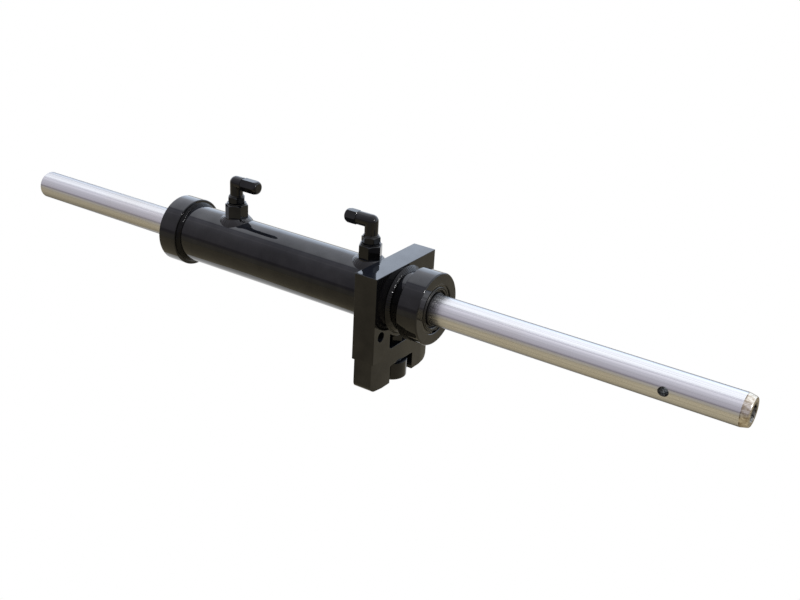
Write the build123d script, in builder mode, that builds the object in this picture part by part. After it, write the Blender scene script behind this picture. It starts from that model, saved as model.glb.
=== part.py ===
from build123d import *
import os
from math import cos, degrees, radians

# Steering cylinder with a rod through both ends, in millimetres. The cylinder lies along X.
# The origin is midway between the bracket's two bolt holes, on the bracket's front (+X) face.

# Cylinder body
axis_height = 34.5            # cylinder axis above the bracket's bolt holes
body_length = 436.0           # over both end collars
bore_diameter = 65.0
barrel_wall = 7.5
collar_step = 7.5             # how far the collars stand out of the barrel
collar_length = 30.0
collar_socket_depth = 12.0    # how far the barrel enters each collar
collar_edge_chamfer = 0.8
collar_weld_leg = 4.0
neck_length = 17.5            # bare barrel between the bracket and the right collar
weld_bulge = 0.5              # how far a bead stands out of its straight face
fit_gap = 0.05                # gap between pieces of one body that slip together
seal_corner = 0.8             # bevel on the edges of the rod's and the piston's seals
oring_corner_share = 0.3      # bevel on an O-ring squeezed into its groove, as a share of its section

# Rod, one ground bar
rod_diameter = 40.0
rod_length = 1125.0
rod_offset = 60.5             # from the body's middle to the rod's middle, as photographed
tip_taper_length = 9.5        # long shallow taper on the right end only
tip_taper_depth = 2.25
rear_bevel = 1.0
end_thread_diameter = 20.4    # core of an M22 x 1.5 thread, in both ends
end_thread_depth = 45.0
end_thread_mouth = 1.2
cross_hole_diameter = 12.5
cross_hole_from_tip = 96.0

# Running clearances between the rod's pieces and the cylinder's
running_gap = 0.06            # radial, at guides and seals
metal_gap = 0.35              # radial, where metal must not touch metal
stop_gap = 0.3                # left between piston and gland at the end of the stroke

# Piston
piston_length = 32.0
piston_seal_width = 9.0
piston_seal_depth = 5.5
wear_ring_width = 5.6
wear_ring_depth = 2.5
wear_ring_land = 2.4          # metal left outside each wear ring
piston_oring_section = 3.5
lock_ring_thickness = 3.0
lock_ring_height = 4.0        # how far it stands out of the rod
lock_groove_depth = 2.0
lock_ring_opening = 10.0
lock_recess_depth = 4.0

# Gland in each collar, measured inwards from the collar's end face
gland_recess = 0.4
ring_recess = 1.6
ring_thickness = 2.5
ring_width = 5.0
ring_groove_depth = 1.8
ring_opening = 9.0
lug_hole_diameter = 2.5       # for the pliers that take the ring out
lug_hole_setback = 3.75       # from the ring's open end to the hole's middle
wiper_width = 6.0
wiper_height = 4.6
wiper_lip = 1.2
rod_seal_start = 14.0
rod_seal_width = 8.0
rod_seal_height = 5.0
guide_ring_width = 14.0
guide_ring_height = 2.5
outer_guide_start = 28.0
inner_guide_margin = 5.0      # gland metal left behind the inner guide ring
gland_oring_start = 46.0
gland_oring_section = 3.5
oil_gap = 4.5                 # ring-shaped oil space round the gland's nose
nose_past_hole = 3.2          # the nose stops the piston this far past the oil hole

# Mounting bracket: a plate with a narrower foot that is split into two legs
plate_thickness = 33.0
bolt_spacing = 103.0
bolt_hole_diameter = 13.5
bolt_to_plate_side = 15.0
plate_above_barrel = 8.7
plate_edge_chamfer = 0.8
shoulder_step = 1.0           # how much narrower the foot is on each side
foot_setback = 3.0            # from the plate's rear face forward to the foot's
foot_height = 41.4
foot_corner_radius = 9.0
foot_relief_depth = 3.5       # front corners of the foot slope back by this much
foot_relief_width = 21.5
window_inset = 9.5            # the window's sides lie this far inside the barrel's
window_below_barrel = 20.0
window_corner_radius = 5.0
window_tip_radius = 2.0       # in the window's two pointed upper corners
window_rim = 8.5              # plate left between the bore and the window
cross_bar_height = 26.0
leg_length = 24.9
slot_corner_radius = 2.0
front_weld_leg = 6.0
rear_weld_leg = 4.0

# Locating pin under the bracket's cross-bar
pin_diameter = 40.0
pin_side_gap = 6.0            # from the pin to each leg
pin_length = 24.0
pin_edge_chamfer = 1.5
pin_neck_diameter = 26.0
pin_neck_length = 2.0
pin_bolt_diameter = 16.0
pin_bolt_flats = 24.0
pin_bolt_head_height = 10.0
pin_bolt_engagement = 15.0
pin_bolt_hole_gap = 0.5

# Ports on top of the barrel, with their fittings
port_to_plate = 7.0           # from the right boss to the bracket's rear face
boss_diameter = 34.0
boss_stand = 3.5              # above the top of the barrel
boss_spigot_wall = 4.0
boss_floor = 1.5              # barrel wall left under the boss
boss_weld_leg = 6.0
oil_hole_diameter = 8.0
gland_land_margin = 4.5       # the gland's sealed wall ends this far before the oil hole
thread_floor = 2.0            # boss metal left under its thread
adapter_stub_diameter = 18.0
adapter_stub_gap = 0.6
adapter_flats = 28.0
adapter_height = 18.5
port_oring_section = 2.0
fitting_passage_diameter = 7.0
elbow_thread_diameter = 16.0
elbow_stub_length = 12.0
washer_diameter = 26.6
washer_thickness = 1.5
lock_nut_flats = 22.0
lock_nut_height = 9.5
elbow_diameter = 18.0
elbow_shoulder_width = 1.2
elbow_shoulder_height = 1.2
elbow_rise = 19.0             # from the lock nut's top to the outlet's axis
outlet_thread_diameter = 14.0
outlet_thread_length = 12.0
cap_flats = 17.0
cap_dome_length = 6.5
cap_tip_diameter = 10.0
hexagon_bevel = 1.6           # how far down the corners of each hexagon are turned
adapter_turn = {"left": 29.0, "right": 55.0}    # how far each hexagon was screwed round
lock_nut_turn = {"left": 8.0, "right": 23.0}
elbow_reach = {"left": 12.5, "right": 20.0}     # from the elbow's upright to its cap
cap_length = {"left": 27.0, "right": 19.0}

# Radii that follow from the sizes above
bore_radius = bore_diameter / 2
barrel_radius = bore_radius + barrel_wall
collar_radius = barrel_radius + collar_step
rod_radius = rod_diameter / 2
guide_bore_radius = rod_radius + running_gap
gland_bore_radius = rod_radius + metal_gap
gland_radius = bore_radius - fit_gap
ring_inner_radius = bore_radius + ring_groove_depth - ring_width
stub_bore_radius = adapter_stub_diameter / 2 + fit_gap
boss_spigot_radius = stub_bore_radius + boss_spigot_wall
oil_hole_radius = oil_hole_diameter / 2
passage_radius = fitting_passage_diameter / 2

# Places along the cylinder
body_middle = neck_length + collar_length - body_length / 2
rod_middle = body_middle + rod_offset
port_from_middle = -plate_thickness - port_to_plate - boss_diameter / 2 - body_middle
port_depth = body_length / 2 - port_from_middle
gland_land_end = port_depth - oil_hole_radius - gland_land_margin
gland_end = port_depth + oil_hole_radius + nose_past_hole
inner_guide_start = gland_end - inner_guide_margin - guide_ring_width
barrel_half_length = body_length / 2 - collar_length + collar_socket_depth

# Heights above the cylinder axis
window_bottom = -barrel_radius - window_below_barrel
slot_top = window_bottom - cross_bar_height
foot_bottom = slot_top - leg_length
shoulder = foot_bottom + foot_height
plate_top = barrel_radius + plate_above_barrel
boss_bottom = bore_radius + boss_floor
boss_top = barrel_radius + boss_stand
thread_bottom = boss_bottom + thread_floor
adapter_top = boss_top + adapter_height
lock_nut_bottom = adapter_top + washer_thickness
lock_nut_top = lock_nut_bottom + lock_nut_height
outlet_height = lock_nut_top + elbow_rise

cylinder_axis = Axis((0, 0, axis_height), (1, 0, 0))
sides = {"left": -1, "right": 1}


def lengthwise(x, inwards):
    """Drawing plane through the cylinder axis: local x runs along it, local y is the radius."""
    return Plane(origin=(x, 0, axis_height), x_dir=(inwards, 0, 0), z_dir=(0, -inwards, 0))


def upright(x):
    """Drawing plane of a vertical turned piece: local x is its radius, local y its height."""
    return Plane(origin=(x, 0, axis_height), x_dir=(1, 0, 0), z_dir=(0, -1, 0))


def upright_axis(x):
    """Axis of a vertical turned piece on the cylinder's middle plane."""
    return Axis((x, 0, axis_height), (0, 0, 1))


def band(start, end, low, high, mode=Mode.ADD):
    """Rectangle in a section, from start to end across it and from low to high."""
    with Locations(((start + end) / 2, (low + high) / 2)):
        Rectangle(abs(end - start), high - low, mode=mode)


def save(piece, name):
    """Label a finished piece and write it to its own file."""
    piece.part.label = name
    export_step(piece.part, f"parts/{name}.step")


def save_ring(name, plane, start, end, inner, outer, corner=0.0):
    """A plain ring about the cylinder axis, with bevelled or sharp corners."""
    with BuildPart() as piece:
        with BuildSketch(plane) as section:
            band(start, end, inner, outer)
            if corner:
                chamfer(section.vertices(), corner)
        revolve(axis=cylinder_axis)
    save(piece, name)


def save_open_ring(name, x, thickness, inner, outer, opening, lug_holes=False):
    """A flat spring ring that is cut open at the bottom, from x to x + thickness."""
    with BuildPart() as piece:
        with BuildSketch(Plane(origin=(x, 0, axis_height), x_dir=(0, 1, 0), z_dir=(1, 0, 0))):
            Circle(outer)
            Circle(inner, mode=Mode.SUBTRACT)
            with Locations((0, -(inner + outer) / 2)):
                Rectangle(opening, 2 * (outer - inner), mode=Mode.SUBTRACT)
            if lug_holes:
                lug_angle = degrees((opening / 2 + lug_hole_setback) / inner)
                with PolarLocations((inner + outer) / 2, 2, -90 - lug_angle, 2 * lug_angle, endpoint=True):
                    Circle(lug_hole_diameter / 2, mode=Mode.SUBTRACT)
        extrude(amount=thickness)
    save(piece, name)


def save_fillet_weld(name, x, away, leg):
    """A fillet bead round the barrel in the corner of a face at x, on the side that away points to."""
    with BuildPart() as piece:
        with BuildSketch(lengthwise(x, away)):
            with BuildLine():
                Polyline((0, barrel_radius + leg), (0, barrel_radius), (leg, barrel_radius))
                ThreePointArc(
                    (leg, barrel_radius),
                    (leg / 2 + weld_bulge, barrel_radius + leg / 2 + weld_bulge),
                    (0, barrel_radius + leg),
                )
            make_face()
        revolve(axis=cylinder_axis)
    save(piece, name)


def hexagon(plane, flats, length, turn=0.0):
    """A hexagon bar that stands on the plane, with its corners turned down at the far end."""
    corner_radius = flats / 2 / cos(radians(30))
    with BuildPart() as bar:
        with BuildSketch(plane):
            RegularPolygon(flats / 2, 6, major_radius=False, rotation=turn)
        extrude(amount=length)
        with BuildSketch(Plane(origin=plane.origin, x_dir=plane.x_dir, z_dir=-plane.y_dir)):
            with BuildLine():
                Polyline(
                    (0, 0), (corner_radius, 0), (corner_radius, length - hexagon_bevel / 2),
                    (flats / 2 - hexagon_bevel / 2, length), (0, length),
                    close=True,
                )
            make_face()
        revolve(axis=Axis(plane.origin, plane.z_dir), mode=Mode.INTERSECT)
    return bar.part


os.makedirs("parts", exist_ok=True)

# Barrel: a drawn tube with a stepped hole in its top wall under each port boss.
with BuildPart() as barrel:
    with BuildSketch(lengthwise(body_middle, 1)):
        band(-barrel_half_length, barrel_half_length, bore_radius, barrel_radius)
    revolve(axis=cylinder_axis)
    for sign in sides.values():
        port_x = body_middle + sign * port_from_middle
        with BuildSketch(upright(port_x)):
            band(0, oil_hole_radius, 0, boss_top)
            band(0, boss_spigot_radius + fit_gap, boss_bottom, boss_top)
        revolve(axis=upright_axis(port_x), mode=Mode.SUBTRACT)
save(barrel, "barrel")

# End collars, glands and what each gland carries. Depths count inwards from the collar's face.
for side, sign in sides.items():
    end_x = body_middle + sign * body_length / 2
    depth = lengthwise(end_x, -sign)

    with BuildPart() as collar:
        with BuildSketch(depth) as section:
            band(0, collar_length, bore_radius, collar_radius)
            chamfer(section.vertices(), collar_edge_chamfer)
            band(
                collar_length - collar_socket_depth, collar_length + collar_edge_chamfer,
                bore_radius - collar_edge_chamfer, barrel_radius + fit_gap, mode=Mode.SUBTRACT,
            )
            band(
                ring_recess, ring_recess + ring_thickness + fit_gap,
                bore_radius - fit_gap, bore_radius + ring_groove_depth + fit_gap, mode=Mode.SUBTRACT,
            )
        revolve(axis=cylinder_axis)
    save(collar, f"collar_{side}")

    save_fillet_weld(f"collar_weld_{side}", end_x - sign * collar_length, -sign, collar_weld_leg)

    with BuildPart() as gland:
        with BuildSketch(depth):
            band(gland_recess, gland_end, gland_bore_radius, ring_inner_radius - fit_gap)
            band(ring_recess + ring_thickness, gland_land_end, gland_bore_radius, gland_radius)
            band(gland_recess, gland_end, gland_bore_radius, bore_radius - oil_gap)
            band(
                gland_recess, gland_recess + wiper_width,
                gland_bore_radius, rod_radius + wiper_height, mode=Mode.SUBTRACT,
            )
            band(
                rod_seal_start, rod_seal_start + rod_seal_width,
                gland_bore_radius, rod_radius + rod_seal_height, mode=Mode.SUBTRACT,
            )
            for guide_start in (outer_guide_start, inner_guide_start):
                band(
                    guide_start, guide_start + guide_ring_width,
                    gland_bore_radius, rod_radius + guide_ring_height, mode=Mode.SUBTRACT,
                )
            band(
                gland_oring_start, gland_oring_start + gland_oring_section,
                bore_radius - gland_oring_section, bore_radius, mode=Mode.SUBTRACT,
            )
        revolve(axis=cylinder_axis)
    save(gland, f"gland_{side}")

    # Dirt wiper: a wide heel in the gland and a lip that stands out round the rod.
    with BuildPart() as wiper:
        with BuildSketch(depth):
            band(
                gland_recess, gland_recess + wiper_width,
                gland_bore_radius, rod_radius + wiper_height - fit_gap,
            )
            band(
                gland_recess - wiper_lip, gland_recess + wiper_lip,
                guide_bore_radius, rod_radius + wiper_height / 2,
            )
        revolve(axis=cylinder_axis)
    save(wiper, f"wiper_{side}")

    save_ring(
        f"rod_seal_{side}", depth, rod_seal_start + fit_gap, rod_seal_start + rod_seal_width - fit_gap,
        guide_bore_radius, rod_radius + rod_seal_height - fit_gap, corner=seal_corner,
    )
    for place, guide_start in (("outer", outer_guide_start), ("inner", inner_guide_start)):
        save_ring(
            f"guide_ring_{place}_{side}", depth,
            guide_start + fit_gap, guide_start + guide_ring_width - fit_gap,
            guide_bore_radius, rod_radius + guide_ring_height - fit_gap,
        )
    save_ring(
        f"gland_oring_{side}", depth,
        gland_oring_start + fit_gap, gland_oring_start + gland_oring_section - fit_gap,
        bore_radius - gland_oring_section + fit_gap, bore_radius - fit_gap,
        corner=gland_oring_section * oring_corner_share,
    )
    ring_middle = end_x - sign * (ring_recess + ring_thickness / 2)
    save_open_ring(
        f"retaining_ring_{side}", ring_middle - ring_thickness / 2, ring_thickness,
        ring_inner_radius, bore_radius + ring_groove_depth, ring_opening, lug_holes=True,
    )

# Rod: one bar with a threaded hole in each end, a tapered right end and a cross hole.
rod_tip = rod_middle + rod_length / 2
lock_floor = piston_length / 2 - lock_recess_depth
lock_start = lock_floor + stop_gap
with BuildPart() as rod:
    with BuildSketch(lengthwise(rod_middle, 1)):
        with BuildLine():
            Polyline(
                (-rod_length / 2, 0),
                (-rod_length / 2, rod_radius - rear_bevel),
                (-rod_length / 2 + rear_bevel, rod_radius),
                (rod_length / 2 - tip_taper_length, rod_radius),
                (rod_length / 2, rod_radius - tip_taper_depth),
                (rod_length / 2, 0),
                close=True,
            )
        make_face()
        for sign in sides.values():
            band(
                sign * (lock_start - fit_gap), sign * (lock_start + lock_ring_thickness + fit_gap),
                rod_radius - lock_groove_depth, rod_radius + fit_gap, mode=Mode.SUBTRACT,
            )
            band(
                sign * (rod_length / 2 - end_thread_depth), sign * rod_length / 2,
                0, end_thread_diameter / 2, mode=Mode.SUBTRACT,
            )
    revolve(axis=cylinder_axis)
    mouths = rod.edges().filter_by(GeomType.CIRCLE).filter_by(
        lambda edge: abs(edge.radius - end_thread_diameter / 2) < fit_gap
    ).group_by(Axis.X)
    chamfer(mouths[0] + mouths[-1], end_thread_mouth)
    with BuildSketch(Plane(origin=(rod_tip - cross_hole_from_tip, 0, axis_height), z_dir=(0, 1, 0))):
        Circle(cross_hole_diameter / 2)
    extrude(amount=rod_diameter, both=True, mode=Mode.SUBTRACT)
save(rod, "rod")

# Piston: grooved for its seal, two wear rings and an inner seal, recessed for the lock rings.
along_piston = lengthwise(rod_middle, 1)
piston_radius = bore_radius - metal_gap
piston_bore_radius = rod_radius + running_gap
lock_ring_radius = rod_radius + lock_ring_height
wear_ring_start = piston_length / 2 - wear_ring_land - wear_ring_width
with BuildPart() as piston:
    with BuildSketch(along_piston):
        band(-piston_length / 2, piston_length / 2, piston_bore_radius, piston_radius)
        band(
            -piston_seal_width / 2, piston_seal_width / 2,
            bore_radius - piston_seal_depth, bore_radius, mode=Mode.SUBTRACT,
        )
        band(
            -piston_oring_section / 2, piston_oring_section / 2,
            piston_bore_radius, rod_radius + piston_oring_section, mode=Mode.SUBTRACT,
        )
        for sign in sides.values():
            band(
                sign * wear_ring_start, sign * (wear_ring_start + wear_ring_width),
                bore_radius - wear_ring_depth, bore_radius, mode=Mode.SUBTRACT,
            )
            band(
                sign * lock_floor, sign * piston_length / 2,
                piston_bore_radius, lock_ring_radius + metal_gap, mode=Mode.SUBTRACT,
            )
    revolve(axis=cylinder_axis)
save(piston, "piston")

save_ring(
    "piston_seal", along_piston, -piston_seal_width / 2 + fit_gap, piston_seal_width / 2 - fit_gap,
    bore_radius - piston_seal_depth + fit_gap, bore_radius - running_gap, corner=seal_corner,
)
save_ring(
    "piston_oring", along_piston, -piston_oring_section / 2 + fit_gap, piston_oring_section / 2 - fit_gap,
    piston_bore_radius, rod_radius + piston_oring_section - fit_gap,
    corner=piston_oring_section * oring_corner_share,
)
for side, sign in sides.items():
    save_ring(
        f"piston_wear_ring_{side}", along_piston,
        sign * (wear_ring_start + fit_gap), sign * (wear_ring_start + wear_ring_width - fit_gap),
        bore_radius - wear_ring_depth + fit_gap, bore_radius - running_gap,
    )
    lock_ring_middle = rod_middle + sign * (lock_start + lock_ring_thickness / 2)
    save_open_ring(
        f"lock_ring_{side}", lock_ring_middle - lock_ring_thickness / 2, lock_ring_thickness,
        rod_radius - lock_groove_depth + fit_gap, lock_ring_radius, lock_ring_opening,
    )

# Mounting bracket: a plate bored for the barrel, with a window under the bore's rim, a cross-bar,
# and a slightly narrower and thinner foot that an open slot splits into two legs.
plate_width = bolt_spacing + 2 * bolt_to_plate_side
foot_width = plate_width - 2 * shoulder_step
window_width = 2 * (barrel_radius - window_inset)
slot_width = pin_diameter + 2 * pin_side_gap
foot_thickness = plate_thickness - foot_setback
plate_rear = Plane(origin=(-plate_thickness, 0, axis_height), x_dir=(0, 1, 0), z_dir=(1, 0, 0))
pin_x = -foot_thickness / 2
with BuildPart() as bracket:
    with BuildSketch(plate_rear):
        band(-plate_width / 2, plate_width / 2, shoulder, plate_top)
    extrude(amount=plate_thickness)
    plate_sides = bracket.faces().group_by(Axis.Y)
    chamfer(plate_sides[0].edges() + plate_sides[-1].edges(), plate_edge_chamfer)
    with BuildSketch(plate_rear.offset(foot_setback)) as foot:
        band(-foot_width / 2, foot_width / 2, foot_bottom, 0)
        fillet(foot.vertices().group_by(Axis.Y)[0], foot_corner_radius)
    extrude(amount=foot_thickness)
    with BuildSketch(Plane.XY.offset(axis_height + foot_bottom)):
        with BuildLine():
            Polyline(
                (0, foot_width / 2 - foot_relief_width),
                (0, foot_width / 2),
                (-foot_relief_depth, foot_width / 2),
                close=True,
            )
        make_face()
        mirror(about=Plane.XZ)
    extrude(amount=foot_height, mode=Mode.SUBTRACT)
    with BuildSketch(plate_rear):
        Circle(barrel_radius + fit_gap)
    extrude(amount=plate_thickness, mode=Mode.SUBTRACT)
    with BuildSketch(plate_rear) as window:
        band(-window_width / 2, window_width / 2, window_bottom, 0)
        Circle(barrel_radius + window_rim, mode=Mode.SUBTRACT)
        fillet(window.vertices().group_by(Axis.Y)[0], window_corner_radius)
        fillet(window.vertices().group_by(Axis.Y)[-1], window_tip_radius)
    extrude(amount=plate_thickness, mode=Mode.SUBTRACT)
    with BuildSketch(plate_rear) as slot:
        band(-slot_width / 2, slot_width / 2, foot_bottom - leg_length, slot_top)
        fillet(slot.vertices().group_by(Axis.Y)[-1], slot_corner_radius)
    extrude(amount=plate_thickness, mode=Mode.SUBTRACT)
    with BuildSketch(plate_rear):
        with Locations((-bolt_spacing / 2, -axis_height), (bolt_spacing / 2, -axis_height)):
            Circle(bolt_hole_diameter / 2)
    extrude(amount=plate_thickness, mode=Mode.SUBTRACT)
    with BuildSketch(Plane((pin_x, 0, axis_height + slot_top))):
        Circle(pin_bolt_diameter / 2 + pin_bolt_hole_gap)
    extrude(amount=cross_bar_height, mode=Mode.SUBTRACT)
save(bracket, "mounting_bracket")

# Beads between bracket and barrel, all the way round on both faces.
save_fillet_weld("bracket_weld_front", 0, 1, front_weld_leg)
save_fillet_weld("bracket_weld_rear", -plate_thickness, -1, rear_weld_leg)

# Locating pin, hung under the cross-bar by a bolt whose head lies in the window.
pin_top = slot_top - pin_neck_length
pin_bolt_end = pin_top - pin_bolt_engagement
pin_bolt_radius = pin_bolt_diameter / 2
pin_upright = upright(pin_x)
pin_axis = upright_axis(pin_x)
with BuildPart() as pin:
    with BuildSketch(pin_upright):
        with BuildLine():
            Polyline(
                (0, pin_top - pin_length),
                (pin_diameter / 2 - pin_edge_chamfer, pin_top - pin_length),
                (pin_diameter / 2, pin_top - pin_length + pin_edge_chamfer),
                (pin_diameter / 2, pin_top),
                (pin_neck_diameter / 2, pin_top),
                (pin_neck_diameter / 2, slot_top),
                (pin_bolt_radius + fit_gap, slot_top),
                (pin_bolt_radius + fit_gap, pin_bolt_end - stop_gap),
                (0, pin_bolt_end - stop_gap),
                close=True,
            )
        make_face()
    revolve(axis=pin_axis)
save(pin, "locating_pin")

with BuildPart() as pin_bolt:
    head_seat = Plane((pin_x, 0, axis_height + window_bottom))
    add(hexagon(head_seat, pin_bolt_flats, pin_bolt_head_height))
    with BuildSketch(pin_upright):
        band(0, pin_bolt_radius, pin_bolt_end, window_bottom)
    revolve(axis=pin_axis)
save(pin_bolt, "pin_bolt")

# Ports: a welded boss, an adapter, and an elbow with its washer, lock nut and blanking cap.
elbow_bore_radius = elbow_thread_diameter / 2 + fit_gap
elbow_stub_end = adapter_top - elbow_stub_length
elbow_shoulder_radius = elbow_diameter / 2 + elbow_shoulder_width
cap_corner_radius = cap_flats / 2 / cos(radians(30))
rear_bead_toe = -plate_thickness - rear_weld_leg
for side, sign in sides.items():
    port_x = body_middle + sign * port_from_middle
    port_upright = upright(port_x)
    port_axis = upright_axis(port_x)

    # The boss is saddle-shaped under its flange, and its spigot sits in the barrel's wall.
    with BuildPart() as boss:
        with BuildSketch(port_upright):
            band(0, boss_diameter / 2, 0, boss_top)
        revolve(axis=port_axis)
        with BuildSketch(lengthwise(port_x, 1)):
            band(-boss_diameter, boss_diameter, 0, barrel_radius)
        revolve(axis=cylinder_axis, mode=Mode.SUBTRACT)
        with BuildSketch(port_upright):
            band(0, boss_spigot_radius, boss_bottom, boss_top)
        revolve(axis=port_axis)
        with BuildSketch(port_upright):
            band(0, oil_hole_radius, boss_bottom, boss_top)
            band(0, stub_bore_radius, thread_bottom, boss_top)
            band(0, stub_bore_radius + port_oring_section, boss_top - port_oring_section, boss_top)
        revolve(axis=port_axis, mode=Mode.SUBTRACT)
    save(boss, f"port_boss_{side}")

    # Its weld is what a chamfer adds in the corner between a plain boss and the barrel,
    # up to the boss's top and as far as the bracket's rear bead.
    with BuildPart() as boss_weld:
        with BuildSketch(lengthwise(port_x, 1)):
            band(-boss_diameter, boss_diameter, 0, barrel_radius)
        revolve(axis=cylinder_axis)
        with BuildSketch(port_upright):
            band(0, boss_diameter / 2, 0, boss_top + boss_weld_leg)
        revolve(axis=port_axis)
        saddle = boss_weld.edges().filter_by(GeomType.BSPLINE)
        chamfer(saddle, boss_weld_leg)
        with BuildSketch(lengthwise(port_x, 1)):
            band(-boss_diameter, boss_diameter, 0, barrel_radius)
        revolve(axis=cylinder_axis, mode=Mode.SUBTRACT)
        with BuildSketch(port_upright):
            band(0, boss_diameter / 2, 0, boss_top + boss_weld_leg)
            band(0, boss_diameter, boss_top, boss_top + boss_weld_leg)
        revolve(axis=port_axis, mode=Mode.SUBTRACT)
        with BuildSketch(lengthwise(0, 1)):
            band(rear_bead_toe, neck_length, 0, plate_top)
        revolve(axis=cylinder_axis, mode=Mode.SUBTRACT)
    save(boss_weld, f"port_weld_{side}")

    with BuildPart() as port_oring:
        with BuildSketch(port_upright) as section:
            band(
                stub_bore_radius, stub_bore_radius + port_oring_section - fit_gap,
                boss_top - port_oring_section + fit_gap, boss_top - fit_gap,
            )
            chamfer(section.vertices(), port_oring_section * oring_corner_share)
        revolve(axis=port_axis)
    save(port_oring, f"port_oring_{side}")

    with BuildPart() as adapter:
        adapter_seat = Plane((port_x, 0, axis_height + boss_top))
        add(hexagon(adapter_seat, adapter_flats, adapter_height, adapter_turn[side]))
        with BuildSketch(port_upright):
            band(0, adapter_stub_diameter / 2, thread_bottom + adapter_stub_gap, boss_top)
        revolve(axis=port_axis)
        with BuildSketch(port_upright):
            band(0, passage_radius, thread_bottom, adapter_top)
            band(0, elbow_bore_radius, elbow_stub_end - stop_gap, adapter_top)
        revolve(axis=port_axis, mode=Mode.SUBTRACT)
    save(adapter, f"adapter_{side}")

    with BuildPart() as washer:
        with BuildSketch(port_upright):
            band(elbow_bore_radius, washer_diameter / 2, adapter_top, lock_nut_bottom)
        revolve(axis=port_axis)
    save(washer, f"elbow_washer_{side}")

    with BuildPart() as lock_nut:
        nut_seat = Plane((port_x, 0, axis_height + lock_nut_bottom))
        add(hexagon(nut_seat, lock_nut_flats, lock_nut_height, lock_nut_turn[side]))
        with BuildSketch(port_upright):
            band(0, elbow_bore_radius, lock_nut_bottom, lock_nut_top)
        revolve(axis=port_axis, mode=Mode.SUBTRACT)
    save(lock_nut, f"elbow_nut_{side}")

    # Elbow: an upright on a threaded stub, a round corner, and an outlet towards the other port.
    reach = elbow_reach[side]
    corner = (port_x, 0, axis_height + outlet_height)
    outlet_plane = Plane(origin=corner, x_dir=(-sign, 0, 0), z_dir=(0, sign, 0))
    outlet_axis = Axis(outlet_plane.origin, outlet_plane.x_dir)
    with BuildPart() as elbow:
        with BuildSketch(port_upright):
            band(0, elbow_thread_diameter / 2, elbow_stub_end, lock_nut_top)
            band(0, elbow_shoulder_radius, lock_nut_top, lock_nut_top + elbow_shoulder_height)
            band(0, elbow_diameter / 2, lock_nut_top, outlet_height)
        revolve(axis=port_axis)
        with Locations(corner):
            Sphere(elbow_diameter / 2)
        with BuildSketch(outlet_plane):
            band(0, reach, 0, elbow_diameter / 2)
            band(0, reach + outlet_thread_length, 0, outlet_thread_diameter / 2)
        revolve(axis=outlet_axis)
        with BuildSketch(port_upright):
            band(0, passage_radius, elbow_stub_end, outlet_height)
        revolve(axis=port_axis, mode=Mode.SUBTRACT)
        with BuildSketch(outlet_plane):
            band(0, reach + outlet_thread_length, 0, passage_radius)
        revolve(axis=outlet_axis, mode=Mode.SUBTRACT)
    save(elbow, f"elbow_{side}")

    # Blanking cap: a long hexagon nut with a rounded, closed end.
    cap_end = reach + cap_length[side]
    dome_start = cap_end - cap_dome_length
    cap_foot = (port_x - sign * reach, 0, axis_height + outlet_height)
    with BuildPart() as cap:
        with BuildSketch(Plane(origin=cap_foot, x_dir=(0, 1, 0), z_dir=(-sign, 0, 0))):
            RegularPolygon(cap_flats / 2, 6, major_radius=False)
        extrude(amount=cap_length[side])
        with BuildSketch(outlet_plane):
            with BuildLine():
                Polyline(
                    (cap_end, cap_tip_diameter / 2), (cap_end, 0), (reach, 0),
                    (reach, cap_corner_radius), (dome_start, cap_corner_radius),
                )
                TangentArc((dome_start, cap_corner_radius), (cap_end, cap_tip_diameter / 2), tangent=(1, 0))
            make_face()
        revolve(axis=outlet_axis, mode=Mode.INTERSECT)
        with BuildSketch(outlet_plane):
            band(reach, reach + outlet_thread_length + stop_gap, 0, outlet_thread_diameter / 2 + fit_gap)
        revolve(axis=outlet_axis, mode=Mode.SUBTRACT)
    save(cap, f"port_cap_{side}")
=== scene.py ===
from math import asin, atan2, cos, degrees, hypot, pi, radians, sin, sqrt, tan
import bmesh
import bpy
from mathutils import Matrix, Vector, noise


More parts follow.
